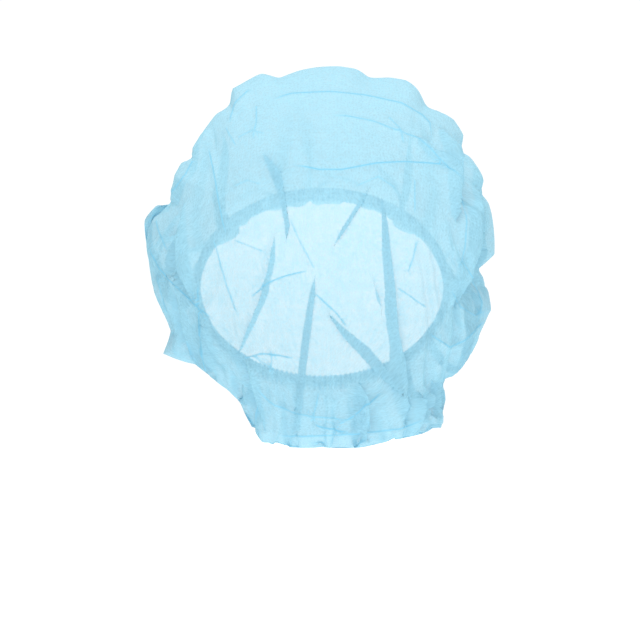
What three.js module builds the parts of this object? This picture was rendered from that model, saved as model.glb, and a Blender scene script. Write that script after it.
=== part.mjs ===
// Disposable bouffant hairnet, as it sits on a head.
// Millimetres. +Z is up, -Y is the wearer's face, +X the wearer's left.
// The origin is the place of the wearer's crown, the highest point of the head inside the cap.
import * as THREE from "three";

// ---- Driving dimensions -------------------------------------------------------------------

const CLOTH = 1.2; // wall of the cap body
const HEAD = {
  halfWidth: 75, // at the ears, where the hem passes
  nape: { y: 70, z: -177 }, // the hem at the back of the neck
  brow: { y: -92, z: -62 }, // the hem on the forehead
};
const HEM = { tall: 9, thick: 3.4, wall: 1, gathers: 36, gatherDepth: 0.7 };
const ELASTIC = { tall: 5, thick: 0.7 };
const GAP = 0.35; // clearance between neighbouring pieces
const CROWN_RISE = 128; // from the hem's plane to the middle of the sheet

// The bag's size in four directions round the hem's middle.
// reach: how far out the bag swells. waist: height of its fullest part over the hem's plane.
// sag: how far it hangs below the hem's plane. pouch: share of the swell left where it turns under.
// round: 1 for an elliptical dome, less for a squarer one and more for a leaner one.
const BAG = [
  { side: "nape", turn: 0, reach: 142, waist: 4, sag: -26, pouch: 0.78, round: 1.2 },
  { side: "left", turn: 90, reach: 103, waist: 30, sag: -20, pouch: 0.5, round: 0.85 },
  { side: "brow", turn: 180, reach: 131, waist: 22, sag: -14, pouch: 0.5, round: 0.85 },
  { side: "right", turn: 270, reach: 103, waist: 30, sag: -20, pouch: 0.5, round: 0.85 },
];

// Corners and notches of the outline seen from behind, left of the wearer first, from the top round.
// x and z: where the corner lies. depth: how far back or forward that fold runs out to the edge.
const OUTLINE = [
  { x: 4, z: 17, depth: 6 },
  { x: 27, z: 11, depth: 10 },
  { x: 38, z: 13, depth: -6 },
  { x: 56, z: 4, depth: 4 },
  { x: 58, z: -6, depth: 16 },
  { x: 65, z: -9, depth: 24 },
  { x: 77, z: -28, depth: 8 },
  { x: 83, z: -48, depth: -4 },
  { x: 87, z: -50, depth: 12 },
  { x: 95, z: -68, depth: 20 },
  { x: 103, z: -67, depth: 10 },
  { x: 110, z: -79, depth: 4 },
  { x: 107, z: -104, depth: 0 },
  { x: 102, z: -129, depth: -8 },
  { x: 97, z: -139, depth: 4 },
  { x: 90, z: -153, depth: 20 },
  { x: 84, z: -163, depth: 30 },
  { x: 71, z: -173, depth: 44 },
  { x: 57, z: -184, depth: 50 },
  { x: 50, z: -191, depth: 56 },
  { x: 36, z: -216, depth: 66 },
  { x: 0, z: -218, depth: 70 },
  { x: -26, z: -218, depth: 66 },
  { x: -42, z: -214, depth: 60 },
  { x: -62, z: -210, depth: 56 },
  { x: -72, z: -205, depth: 48 },
  { x: -77, z: -180, depth: 36 },
  { x: -91, z: -164, depth: 26 },
  { x: -98, z: -149, depth: 14 },
  { x: -106, z: -134, depth: 6 },
  { x: -104, z: -122, depth: 0 },
  { x: -97, z: -109, depth: 12 },
  { x: -107, z: -100, depth: 4 },
  { x: -104, z: -69, depth: -4 },
  { x: -99, z: -60, depth: 14 },
  { x: -101, z: -52, depth: 18 },
  { x: -87, z: -33, depth: 6 },
  { x: -88, z: -25, depth: 0 },
  { x: -82, z: -16, depth: -6 },
  { x: -66, z: -7, depth: 12 },
  { x: -60, z: 7, depth: 18 },
  { x: -53, z: 9, depth: 4 },
  { x: -30, z: 11, depth: -8 },
  { x: -20, z: 17, depth: 6 },
];
const OUTLINE_MIDDLE = -97; // height of the point that the outline is measured round
const CORNER = {
  run: 30, // how far a corner's fold runs forward and back from its depth
  sharpness: 8, // how quickly it fades in from the edge
  bridge: 16, // notches narrower than this many degrees are bridged between folds
  bridgeSlack: 6, // and how far the cloth may stand out over such a bridge
};
const HEM_STAYS = { from: 0.86, to: 0.97 }; // the stretch of the sheet's run that settles on the hem

// The pulled-out corner of cloth beside the nape on the left, and how wide it starts.
const TAIL = { tip: new THREE.Vector3(97, 30, -162), reach: 10 };

// Long folds over the bag. Each runs from one point to another on the back or the front of the cap.
// A height over 0 is a ridge, and under 0 a crease.
const FOLDS = [
  { face: "back", fromX: 34, fromZ: -40, toX: 48, toZ: -158, width: 7, height: 3.2 },
  { face: "back", fromX: 5, fromZ: -118, toX: 14, toZ: -178, width: 6, height: 2.6 },
  { face: "back", fromX: -2, fromZ: -135, toX: -40, toZ: -174, width: 6, height: 2.8 },
  { face: "back", fromX: -37, fromZ: -64, toX: -46, toZ: -172, width: 7, height: 3.4 },
  { face: "back", fromX: 20, fromZ: -48, toX: -88, toZ: -50, width: 7, height: -2.4 },
  { face: "back", fromX: -34, fromZ: -22, toX: -92, toZ: -58, width: 8, height: -3.0 },
  { face: "back", fromX: 36, fromZ: -1, toX: -70, toZ: -10, width: 8, height: -2.6 },
  { face: "back", fromX: 104, fromZ: -84, toX: 72, toZ: -150, width: 8, height: -4.5 },
  { face: "back", fromX: 90, fromZ: -60, toX: 84, toZ: -120, width: 8, height: 3.5 },
  { face: "back", fromX: -84, fromZ: -60, toX: -90, toZ: -118, width: 9, height: -4.5 },
  { face: "back", fromX: -66, fromZ: -160, toX: -96, toZ: -118, width: 8, height: -4.0 },
  { face: "back", fromX: 30, fromZ: -186, toX: -52, toZ: -196, width: 7, height: -4.0 },
  { face: "front", fromX: 0, fromZ: 6, toX: 6, toZ: -58, width: 9, height: -4.0 },
  { face: "front", fromX: 30, fromZ: 2, toX: 38, toZ: -62, width: 9, height: -4.5 },
  { face: "front", fromX: -32, fromZ: 4, toX: -30, toZ: -60, width: 9, height: -3.6 },
  { face: "front", fromX: 58, fromZ: -14, toX: 66, toZ: -84, width: 9, height: -4.2 },
  { face: "front", fromX: -62, fromZ: -10, toX: -64, toZ: -82, width: 9, height: -4.2 },
  { face: "front", fromX: 84, fromZ: -50, toX: 80, toZ: -112, width: 9, height: -3.6 },
  { face: "front", fromX: -84, fromZ: -52, toX: -78, toZ: -110, width: 9, height: -3.6 },
];
const FOLD_END = 12; // how far a long fold takes to die out past its ends
const FACE_EDGE = { from: 5, to: 30 }; // depth over which the folds of the back or front set in
const FLUTES = { count: 18, depth: 1.8, swing: 0.9 }; // soft flutes that rise from the gathered hem

const STEPS = { around: 102, along: 18, hem: 108, crowding: 0.92 };

// ---- Small helpers ------------------------------------------------------------------------

const smooth = THREE.MathUtils.smoothstep;
const lerp = THREE.MathUtils.lerp;
const rad = THREE.MathUtils.degToRad;
const degrees = THREE.MathUtils.radToDeg;
const wrap = THREE.MathUtils.euclideanModulo;
const eased = (k) => k * k * (3 - 2 * k);
const bell = (k) => Math.exp(-k * k);

// Reads a column of a table at a turn in degrees, for rows sorted by their turn and joined end to
// start. shape turns the share of the way between two rows into a weight.
function readRound(rows, turn, column, shape = (k) => k) {
  const at = wrap(turn, 360);
  const next = Math.max(0, rows.findIndex((row) => row.turn > at));
  const high = rows[next];
  const low = rows[wrap(next - 1, rows.length)];
  const share = wrap(at - low.turn, 360) / wrap(high.turn - low.turn, 360);
  return lerp(low[column], high[column], shape(share));
}

// ---- The hem's plane ----------------------------------------------------------------------

const hemMiddle = new THREE.Vector3(0, (HEAD.nape.y + HEAD.brow.y) / 2, (HEAD.nape.z + HEAD.brow.z) / 2);
const towardNape = new THREE.Vector3(0, HEAD.nape.y - HEAD.brow.y, HEAD.nape.z - HEAD.brow.z);
const halfLength = towardNape.length() / 2;
towardNape.normalize();
const towardLeft = new THREE.Vector3(1, 0, 0);
const towardCrown = new THREE.Vector3().crossVectors(towardLeft, towardNape);

// A point by its turn round the hem's middle (0 at the nape, 90 at the left), its distance from
// the middle and its height over the hem's plane.
function place(turn, out, up) {
  return hemMiddle
    .clone()
    .addScaledVector(towardNape, out * Math.cos(turn))
    .addScaledVector(towardLeft, out * Math.sin(turn))
    .addScaledVector(towardCrown, up);
}

// Distance from the middle to the head, round the elliptical hem.
function headRadius(turn) {
  return 1 / Math.hypot(Math.cos(turn) / halfLength, Math.sin(turn) / HEAD.halfWidth);
}

// ---- The bag before its outline is pulled out ---------------------------------------------

const DOME_END = 0.52; // share of the run from the sheet's middle to the fullest part
const UNDER_START = 0.8; // and to the lowest part, where the cloth turns up to the hem

function bagProfile(turn, run) {
  const read = (column) => readRound(BAG, degrees(turn), column, eased);
  const [reach, waist, sag, pouch, round] = ["reach", "waist", "sag", "pouch", "round"].map(read);
  const hemOut = headRadius(turn) + HEM.thick - HEM.wall / 2 + CLOTH / 2;
  const hemUp = -HEM.tall / 2 - GAP;
  const lowest = lerp(hemOut, reach, pouch);
  if (run <= DOME_END) {
    const lift = ((1 - run / DOME_END) * Math.PI) / 2;
    return {
      out: reach * Math.max(0, Math.cos(lift)) ** round,
      up: waist + (CROWN_RISE - waist) * Math.sin(lift) ** round,
    };
  }
  if (run <= UNDER_START) {
    const drop = ((run - DOME_END) / (UNDER_START - DOME_END)) * (Math.PI / 2);
    return {
      out: lowest + (reach - lowest) * Math.cos(drop),
      up: waist + (sag - waist) * Math.sin(drop),
    };
  }
  const turnUp = ((run - UNDER_START) / (1 - UNDER_START)) * (Math.PI / 2);
  return {
    out: lowest + (hemOut - lowest) * Math.sin(turnUp),
    up: sag + (hemUp - sag) * (1 - Math.cos(turnUp)),
  };
}

function plainBag(turn, run) {
  const { out, up } = bagProfile(turn, run);
  return place(turn, out, up);
}

// ---- The outline --------------------------------------------------------------------------

const polar = (x, z) => ({
  turn: wrap(degrees(Math.atan2(z - OUTLINE_MIDDLE, x)), 360),
  radius: Math.hypot(x, z - OUTLINE_MIDDLE),
});
const outline = OUTLINE.map((row) => ({ ...polar(row.x, row.z), depth: row.depth }));
outline.sort((a, b) => a.turn - b.turn);

const EVERY = 5; // degrees between the rows of the two outlines below
const everyTurn = Array.from({ length: 360 / EVERY }, (_, i) => i * EVERY);

// The plain bag's own outline.
const plainOutline = everyTurn.map((turn) => ({ turn, radius: 0 }));
for (let turn = 0; turn < 360; turn += 2) {
  for (let run = 0; run < 1; run += 1 / 50) {
    const p = plainBag(rad(turn), run);
    const seen = polar(p.x, p.z);
    const row = plainOutline[Math.round(seen.turn / EVERY) % plainOutline.length];
    row.radius = Math.max(row.radius, seen.radius);
  }
}

// The drawn-out bag's outline with its narrow notches and corners left out.
const softOutline = everyTurn.map((turn) => {
  let radius = Infinity;
  for (let off = -CORNER.bridge; off <= CORNER.bridge; off += 2) {
    const slack = CORNER.bridgeSlack * (off / CORNER.bridge) ** 2;
    radius = Math.min(radius, readRound(outline, turn + off, "radius") + slack);
  }
  return { turn, radius };
});

// Draws the bag out to its outline. Every part follows the soft outline, and close to the edge a
// fold stands out to each corner, and fades forward and back from the corner's depth.
function drawnOut(p, run) {
  const { turn, radius } = polar(p.x, p.z);
  const plain = readRound(plainOutline, turn, "radius");
  const soft = readRound(softOutline, turn, "radius");
  const corner = readRound(outline, turn, "radius");
  const depth = readRound(outline, turn, "depth");
  const share = Math.min(1, radius / plain);
  const free = 1 - smooth(run, HEM_STAYS.from, HEM_STAYS.to);
  const whole = lerp(1, soft / plain, smooth(share, 0.5, 1) * free);
  const fold = bell((p.y - depth) / CORNER.run) * share ** CORNER.sharpness * free;
  const scale = whole + ((corner - soft) / Math.max(radius, 1)) * fold;
  return new THREE.Vector3(p.x * scale, p.y, OUTLINE_MIDDLE + (p.z - OUTLINE_MIDDLE) * scale);
}

// ---- Folds and flutes ---------------------------------------------------------------------

const bagMiddle = new THREE.Vector3(0, 6, OUTLINE_MIDDLE);

function foldHeight(p) {
  let height = 0;
  for (const fold of FOLDS) {
    const facing = fold.face === "back" ? p.y : -p.y;
    const onFace = smooth(facing, FACE_EDGE.from, FACE_EDGE.to);
    const alongX = fold.toX - fold.fromX;
    const alongZ = fold.toZ - fold.fromZ;
    const length = Math.hypot(alongX, alongZ);
    const reached = ((p.x - fold.fromX) * alongX + (p.z - fold.fromZ) * alongZ) / length;
    const across = ((p.x - fold.fromX) * alongZ - (p.z - fold.fromZ) * alongX) / length;
    const past = Math.max(0, -reached, reached - length);
    height += fold.height * onFace * bell(across / fold.width) * bell(past / FOLD_END);
  }
  return height;
}

function flute(turn, run) {
  const wave = Math.cos(FLUTES.count * turn + FLUTES.swing * Math.sin(3 * turn));
  return FLUTES.depth * wave * smooth(run, DOME_END, UNDER_START) * (1 - smooth(run, HEM_STAYS.from, 1));
}

function bagPoint(turn, run) {
  const drawn = drawnOut(plainBag(turn, run), run);
  const outward = drawn.clone().sub(bagMiddle).normalize();
  const onDome = 1 - smooth(run, UNDER_START - 0.1, UNDER_START);
  return drawn.addScaledVector(outward, foldHeight(drawn) * onDome + flute(turn, run));
}

// ---- Shells and rings ---------------------------------------------------------------------

// A mesh from rings of the same number of points. firstPole and lastPole, where given, close the
// first and the last ring; loop joins the last ring to the first. A wall's inside, the later half
// of its rings, is split along the same diagonals as its outside, so that the wall is even.
function skinRings(rings, { firstPole, lastPole, loop }) {
  const count = rings[0].length;
  const points = rings.flat();
  const index = [];
  const at = (ring, i) => (ring % rings.length) * count + (i % count);
  for (let ring = 0; ring < (loop ? rings.length : rings.length - 1); ring++) {
    const onInside = ring * 2 >= rings.length;
    for (let i = 0; i < count; i++) {
      const [a, b, c, d] = [at(ring, i), at(ring + 1, i), at(ring + 1, i + 1), at(ring, i + 1)];
      if (onInside) index.push(a, b, d, b, c, d);
      else index.push(a, b, c, a, c, d);
    }
  }
  if (firstPole) {
    points.push(firstPole);
    for (let i = 0; i < count; i++) index.push(points.length - 1, at(0, i), at(0, i + 1));
  }
  if (lastPole) {
    const last = rings.length - 1;
    points.push(lastPole);
    for (let i = 0; i < count; i++) index.push(at(last, i + 1), at(last, i), points.length - 1);
  }
  const geometry = new THREE.BufferGeometry().setFromPoints(points);
  geometry.setIndex(index);
  geometry.computeVertexNormals();
  return geometry;
}

const turns = (count) => Array.from({ length: count }, (_, i) => (i / count) * 2 * Math.PI);

// The bag's wall: an outer skin from the middle of the sheet to the hem, and the same skin set
// in by the cloth's thickness, back to the middle.
function capBody() {
  const outer = [];
  for (let row = 1; row <= STEPS.along; row++) {
    const run = (row / STEPS.along) ** STEPS.crowding;
    outer.push(turns(STEPS.around).map((turn) => bagPoint(turn, run)));
  }
  pullTail(outer);
  const crown = bagPoint(0, 0);
  const normals = skinNormals(outer, crown);
  const inner = outer.map((ring, row) =>
    ring.map((p, i) => p.clone().addScaledVector(normals.of(row, i), -CLOTH)),
  );
  const innerCrown = crown.clone().addScaledVector(normals.ofPole, -CLOTH);
  return skinRings([...outer, ...inner.reverse()], { firstPole: crown, lastPole: innerCrown });
}

// Outward normals of an open skin of rings round a pole.
function skinNormals(rings, pole) {
  const count = rings[0].length;
  const normal = skinRings(rings, { firstPole: pole }).getAttribute("normal");
  const read = (i) => new THREE.Vector3().fromBufferAttribute(normal, i);
  return { of: (row, i) => read(row * count + i), ofPole: read(rings.length * count) };
}

// Pulls the point of cloth nearest to the tail out to its tip, and its neighbours part of the way.
function pullTail(rings) {
  const nearer = (a, b) => (a.distanceTo(TAIL.tip) < b.distanceTo(TAIL.tip) ? a : b);
  const root = rings.flat().reduce(nearer).clone();
  const pull = TAIL.tip.clone().sub(root);
  for (const p of rings.flat()) p.addScaledVector(pull, bell(p.distanceTo(root) / TAIL.reach));
}

// A gathered ring of any section round the head. The section's corners are [out, up], with out
// measured from the head's side and up from the hem's plane.
function gatheredRing(section) {
  const ripple = (turn) => HEM.gatherDepth * Math.cos(HEM.gathers * turn);
  const rings = section.map(([out, up]) =>
    turns(STEPS.hem).map((turn) => place(turn, headRadius(turn) + out + ripple(turn), up)),
  );
  return skinRings(rings.reverse(), { loop: true });
}

// The sheet's edge, folded inwards over the elastic, open downwards where the bag comes up to it.
function hemCasing() {
  const { tall, thick, wall } = HEM;
  const half = tall / 2;
  const section = [
    [0, -half],
    [0, half],
    [thick, half],
    [thick, -half],
    [thick - wall, -half],
    [thick - wall, half - wall],
    [wall, half - wall],
    [wall, -half],
  ];
  return gatheredRing(section);
}

// The elastic in the fold. It follows the casing's gathers.
function elasticBand() {
  const middle = HEM.thick / 2;
  const top = HEM.tall / 2 - HEM.wall - GAP;
  const section = [
    [middle - ELASTIC.thick / 2, top - ELASTIC.tall],
    [middle - ELASTIC.thick / 2, top],
    [middle + ELASTIC.thick / 2, top],
    [middle + ELASTIC.thick / 2, top - ELASTIC.tall],
  ];
  return gatheredRing(section);
}

// ---- The object ---------------------------------------------------------------------------

const sheet = { roughness: 0.85, metalness: 0, transparent: true, side: THREE.DoubleSide };
const oneLayer = new THREE.MeshStandardMaterial({ ...sheet, color: 0xa5dcf0, opacity: 0.6 });
const gatheredLayers = new THREE.MeshStandardMaterial({ ...sheet, color: 0x8fcfe8, opacity: 0.85 });
const whiteElastic = new THREE.MeshStandardMaterial({ color: 0xf2f5f4, roughness: 0.6 });

const hairnet = new THREE.Group();

function add(name, geometry, material) {
  const mesh = new THREE.Mesh(geometry, material);
  mesh.name = name;
  hairnet.add(mesh);
}

add("cap_body", capBody(), oneLayer);
add("hem_casing", hemCasing(), gatheredLayers);
add("elastic_band", elasticBand(), whiteElastic);

export default hairnet;
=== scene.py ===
"""A disposable bouffant hairnet of thin blue nonwoven cloth, in the form that it has on a head."""
import math
from collections import namedtuple

import bpy
import numpy as np
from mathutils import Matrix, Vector


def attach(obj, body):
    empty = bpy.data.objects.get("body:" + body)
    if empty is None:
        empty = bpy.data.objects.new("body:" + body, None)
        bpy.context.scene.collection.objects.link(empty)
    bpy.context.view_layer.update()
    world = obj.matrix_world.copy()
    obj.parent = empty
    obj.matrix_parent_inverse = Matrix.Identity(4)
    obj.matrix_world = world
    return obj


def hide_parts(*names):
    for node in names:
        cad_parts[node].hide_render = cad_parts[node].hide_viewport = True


bl_info = {
    "name": "Disposable Hairnet",
    "version": (1, 0, 0),
    "blender": (4, 5, 0),
    "location": "View3D > Sidebar > Hairnet",
    "description": "Builds a disposable bouffant hairnet as it sits on a head",
    "category": "Add Mesh",
}

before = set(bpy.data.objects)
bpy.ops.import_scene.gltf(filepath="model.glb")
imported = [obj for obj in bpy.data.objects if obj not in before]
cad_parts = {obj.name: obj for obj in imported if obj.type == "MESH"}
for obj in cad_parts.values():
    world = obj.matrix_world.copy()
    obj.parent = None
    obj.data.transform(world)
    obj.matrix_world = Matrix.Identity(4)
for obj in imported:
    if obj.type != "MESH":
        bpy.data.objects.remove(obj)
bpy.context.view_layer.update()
MM = 0.001
BODY = "root"

# ---- The cap's own measures, in millimetres ----

SHEET_CUT = 530  # diameter of the round sheet before it is gathered
HEM_FOLD = 15  # of its edge that is folded over the elastic

# The bag in four directions round the hem's middle. turn: degrees, 0 at the nape and 90 at the
# wearer's left. reach: how far out the bag swells. waist: height of its fullest part over the hem's
# plane. sag: how far it hangs below that plane. pouch: share of the swell left where it turns under.
# round: 1 for an elliptical dome, less for a squarer one and more for a leaner one.
BagRow = namedtuple("BagRow", "side turn reach waist sag pouch round")
BAG = [
    BagRow("nape", 0, 142, 4, -26, 0.78, 1.2),
    BagRow("left", 90, 103, 30, -20, 0.5, 0.85),
    BagRow("brow", 180, 131, 22, -14, 0.5, 0.85),
    BagRow("right", 270, 103, 30, -20, 0.5, 0.85),
]
CROWN_RISE = 128  # from the hem's plane to the middle of the sheet
DOME_END = 0.52  # share of the run from the sheet's middle to the fullest part
UNDER_START = 0.8  # and to the lowest part, where the cloth turns up to the hem

# Corners and notches of the outline from behind, from the top round by the wearer's left.
# depth: how far back or forward that fold runs out to the edge.
Corner = namedtuple("Corner", "x z depth")
OUTLINE = [
    Corner(4, 17, 6), Corner(27, 11, 10), Corner(38, 13, -6), Corner(56, 4, 4),
    Corner(58, -6, 16), Corner(65, -9, 24), Corner(77, -28, 8), Corner(83, -48, -4),
    Corner(87, -50, 12), Corner(95, -68, 20), Corner(103, -67, 10), Corner(110, -79, 4),
    Corner(107, -104, 0), Corner(102, -129, -8), Corner(97, -139, 4), Corner(90, -153, 20),
    Corner(84, -163, 30), Corner(71, -173, 44), Corner(57, -184, 50), Corner(50, -191, 56),
    Corner(36, -216, 66), Corner(0, -218, 70), Corner(-26, -218, 66), Corner(-42, -214, 60),
    Corner(-62, -210, 56), Corner(-72, -205, 48), Corner(-77, -180, 36), Corner(-91, -164, 26),
    Corner(-98, -149, 14), Corner(-106, -134, 6), Corner(-104, -122, 0), Corner(-97, -109, 12),
    Corner(-107, -100, 4), Corner(-104, -69, -4), Corner(-99, -60, 14), Corner(-101, -52, 18),
    Corner(-87, -33, 6), Corner(-88, -25, 0), Corner(-82, -16, -6), Corner(-66, -7, 12),
    Corner(-60, 7, 18), Corner(-53, 9, 4), Corner(-30, 11, -8), Corner(-20, 17, 6),
]
OUTLINE_MIDDLE = -97  # height of the point that the outline is measured round
OUTLINE_STEP = 5  # degrees between the rows of a worked out outline
CORNER_RUN = 30  # how far a corner's fold runs forward and back from its depth
CORNER_SHARPNESS = 8  # the power of its growth from the outline's middle to the edge
BRIDGE_DEGREES = 16  # notches narrower than this are bridged between folds
BRIDGE_SLACK = 6  # how far a bridge sags at its ends
HEM_STAYS = (0.86, 0.97)  # the stretch of the sheet's run that settles on the hem
SKIRT_SHARE = (0.5, 1)  # the stretch from the outline's middle that is drawn out

# Cloth that lies over itself in three layers. Each fold goes through its points on the back.
# width: of the doubled strip. lean: 1 where its upper lip faces the wearer's left, else -1.
Point = namedtuple("Point", "x z width")
Pleat = namedtuple("Pleat", "name lean points")
PLEATS = [
    Pleat("left_upper", 1, [Point(37, -38, 1), Point(28, -52, 6.5), Point(24, -66, 3.5),
                            Point(21, -84, 3), Point(22, -96, 1)]),
    Pleat("left_long", -1, [Point(28, -84, 1), Point(30, -104, 3), Point(34, -124, 3.5),
                            Point(40, -138, 3), Point(49, -158, 2)]),
    Pleat("right_short", 1, [Point(-30, -58, 1), Point(-23, -70, 3), Point(-13, -86, 3),
                             Point(-4, -101, 1)]),
    Pleat("right_long", -1, [Point(-36, -64, 1), Point(-38, -82, 4), Point(-39, -100, 6),
                             Point(-41, -120, 7), Point(-43, -148, 7.5), Point(-47, -166, 8),
                             Point(-50, -184, 6), Point(-50, -200, 3)]),
    Pleat("middle_long", 1, [Point(4, -112, 1), Point(6, -126, 3.5), Point(9, -147, 5),
                             Point(13, -178, 5), Point(14, -206, 3.5)]),
    Pleat("slanting", -1, [Point(-2, -134, 1), Point(-14, -149, 5), Point(-27, -161, 7.5),
                           Point(-37, -173, 7), Point(-50, -186, 3)]),
    Pleat("right_thin", 1, [Point(-28, -108, 1), Point(-34, -128, 2.5), Point(-40, -150, 1)]),
    Pleat("left_rim", -1, [Point(70, -20, 1), Point(79, -38, 8), Point(86, -54, 9),
                           Point(92, -68, 2)]),
    Pleat("left_side", 1, [Point(84, -66, 1), Point(86, -92, 9), Point(84, -110, 10),
                           Point(76, -128, 6), Point(71, -144, 8), Point(70, -160, 7),
                           Point(69, -178, 1)]),
    Pleat("right_wedge", 1, [Point(-57, -29, 1), Point(-63, -34, 3.5), Point(-70, -43, 3),
                             Point(-78, -50, 1)]),
    Pleat("right_rim", 1, [Point(-72, -22, 1), Point(-82, -38, 10), Point(-82, -58, 8),
                           Point(-80, -82, 1)]),
    Pleat("right_side", -1, [Point(-96, -56, 1), Point(-96, -74, 8), Point(-94, -96, 9),
                             Point(-86, -116, 10), Point(-80, -134, 1)]),
    Pleat("pouch_middle", 1, [Point(-22, -178, 1), Point(-23, -188, 10), Point(-25, -206, 9),
                              Point(-26, -216, 1)]),
    Pleat("pouch_right", -1, [Point(-59, -184, 1), Point(-60, -192, 6), Point(-60, -202, 5),
                              Point(-58, -210, 1)]),
    Pleat("right_corner", 1, [Point(-66, -176, 1), Point(-70, -186, 6), Point(-72, -202, 4),
                              Point(-70, -210, 1)]),
    Pleat("pouch_left", 1, [Point(47, -163, 1), Point(41, -180, 5), Point(36, -198, 4),
                            Point(34, -212, 1)]),
]

# Sharp pinched lines in the cloth. strength: 1 for the plainest.
Crease = namedtuple("Crease", "name strength points")
CREASES = [
    Crease("across_back", 1.0, [(20, -46), (2, -50), (-12, -50), (-33, -46), (-49, -45),
                                (-73, -46), (-89, -56)]),
    Crease("top_rim", 0.8, [(34, -6), (18, -2), (-5, -1), (-26, -3), (-49, -8), (-61, -15),
                            (-66, -20), (-68, -33)]),
    Crease("top_inner", 0.7, [(-5, -15), (-17, -17), (-32, -20), (-49, -27), (-59, -30),
                              (-67, -37), (-75, -46), (-88, -55)]),
    Crease("star_left", 0.8, [(8, -111), (21, -114), (32, -118), (44, -128)]),
    Crease("right_hair", 0.6, [(-56, -54), (-56, -66), (-56, -77)]),
    Crease("right_hair_low", 0.6, [(-57, -92), (-55, -103), (-51, -114)]),
    Crease("left_faint", 0.5, [(54, -92), (44, -96), (34, -100)]),
    Crease("nape_post", 0.6, [(30, -159), (30, -166), (32, -173)]),
    Crease("nape_slant", 0.6, [(41, -162), (36, -166), (29, -170)]),
    Crease("upper_left_arc", 0.5, [(52, -30), (44, -26), (34, -27)]),
    Crease("upper_right_arc", 0.5, [(-20, -60), (-34, -54), (-46, -62)]),
    Crease("star_right", 0.7, [(5, -124), (-8, -136), (-16, -146)]),
    Crease("star_up", 0.5, [(4, -111), (14, -92), (20, -78)]),
    Crease("nape_left", 0.8, [(48, -164), (37, -161), (30, -161), (15, -164)]),
    Crease("left_line", 0.8, [(70, -34), (66, -48), (64, -58), (62, -70), (58, -90)]),
    Crease("left_side", 0.6, [(66, -90), (58, -118), (50, -140)]),
    Crease("crown_left", 0.6, [(40, -8), (40, -20), (42, -31)]),
    Crease("crown_corner", 0.7, [(44, 2), (53, -7), (57, -20)]),
    Crease("crown_low", 0.5, [(59, -22), (56, -28), (52, -35)]),
    Crease("left_rim_line", 0.8, [(78, -42), (83, -52), (93, -64)]),
    Crease("left_ripple", 0.4, [(54, -60), (45, -56), (36, -59)]),
    Crease("right_dart", 0.6, [(-45, -121), (-54, -127), (-64, -134)]),
    Crease("right_lobe_sweep", 0.8, [(-64, -148), (-77, -157), (-86, -153), (-101, -140)]),
    Crease("right_crown", 0.6, [(-40, -16), (-47, -24), (-50, -34)]),
    Crease("lobe_long", 0.9, [(107, -94), (99, -108), (93, -116), (80, -128), (64, -142)]),
    Crease("lobe_top", 0.7, [(102, -78), (99, -88), (94, -99)]),
    Crease("lobe_low", 0.6, [(101, -112), (98, -124), (94, -138)]),
    Crease("right_lobe_up", 0.7, [(-84, -104), (-92, -116), (-98, -130), (-96, -142)]),
    Crease("right_lobe_arc", 0.6, [(-78, -122), (-84, -133), (-93, -138), (-102, -134)]),
    Crease("right_band_line", 0.7, [(-84, -62), (-88, -78), (-87, -96), (-82, -112)]),
    Crease("tail_fold", 0.9, [(75, -118), (74, -135), (73, -158), (70, -176)]),
    Crease("pouch_across", 0.7, [(40, -182), (28, -192), (15, -197), (0, -199), (-18, -201)]),
    Crease("pouch_slant", 0.9, [(-8, -204), (-18, -199), (-28, -191), (-38, -183)]),
    Crease("pouch_dart", 1.0, [(5, -203), (-5, -206), (-16, -208)]),
    Crease("pouch_post", 0.6, [(2, -184), (4, -194), (7, -203)]),
    Crease("pouch_bottom", 0.8, [(28, -211), (0, -210), (-20, -209), (-48, -206), (-66, -200)]),
]

# How the pleats are laid. Stretches are pairs: none at the first value and in full at the second.
PLEAT_FLIP = 2.5  # over 1 the cloth doubles back on itself
PLEAT_RISE = 0.9  # between the layers of a pleat
WAVE_TO_ONE = 2.3  # share * bell(share) peaks at 0.43, and this brings its peak to 1
PLEAT_SPREAD = 1.05  # of the cloth that is drawn in, to the strip's width
PLEAT_NARROWEST = 1.8
PLEAT_END = 4  # how soon it dies out past its end points
PLEAT_WIDTHS = (0.8, 2.6)
PLEAT_PLACE = (8, 30)  # how far back it lies
PLEAT_FACING = (-0.1, 0.25)  # and how much the cloth there faces back

# How the pinched lines are pressed in.
CREASE_RISE = 1.6
CREASE_SPREAD = 2.2  # half the width of the ridge that carries the line
CREASE_HALF = 0.55  # half the width of the line itself
CREASE_END = 3
CREASE_STARTS = (0, 0.12)  # shares of its length
CREASE_STOPS = (0.85, 1)
CREASE_PLACE = (-8, 12)
CREASE_FACING = (-0.3, 0.1)
CREASE_FAINTEST = 0.02  # anything fainter isn't counted
CREASE_REACH = (2, 3.5)  # the line's strength is stored this far out
CREASE_FAR = 9.0  # the distance that is stored where there is no line
RIDGE_CURL = (0.35, 1.1)  # how sharply the cloth turns, as one over the radius
RIDGE_ALONG = 0.6  # what a turn along the run counts against one round the sheet

# The hem's section from where the bag meets it, over the elastic and down inside.
# Distances out from the elastic and up from its middle.
HEM_SECTION = [(1.3, -5.6), (1.5, -4.2), (1.5, 2.6), (1.0, 3.6), (0, 3.9), (-1.0, 3.6),
               (-1.5, 2.6), (-1.5, -4.2), (-1.3, -5.0)]
HEM_GATHERS = 210
HEM_GATHER_DEPTH = 0.8
HEM_GATHER_LEAST = 0.25  # share of that depth at the section's two ends
HEM_GATHER_SPAN = (-0.15, 1.15)
HEM_LEAN_ASIDE = 0.35
HEM_LEAN_UP = 0.3
HEM_GIRTH_RADIUS = 90  # turns a sideways lean into an angle
HEM_PINCH_AND_SHADOW = (-0.2, 0.7)  # from the side of a gather to its bottom, where the colour gets painted shadow
HEM_COLUMNS = 1890  # nine to a gather
HEM_ROWS = 21
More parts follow.
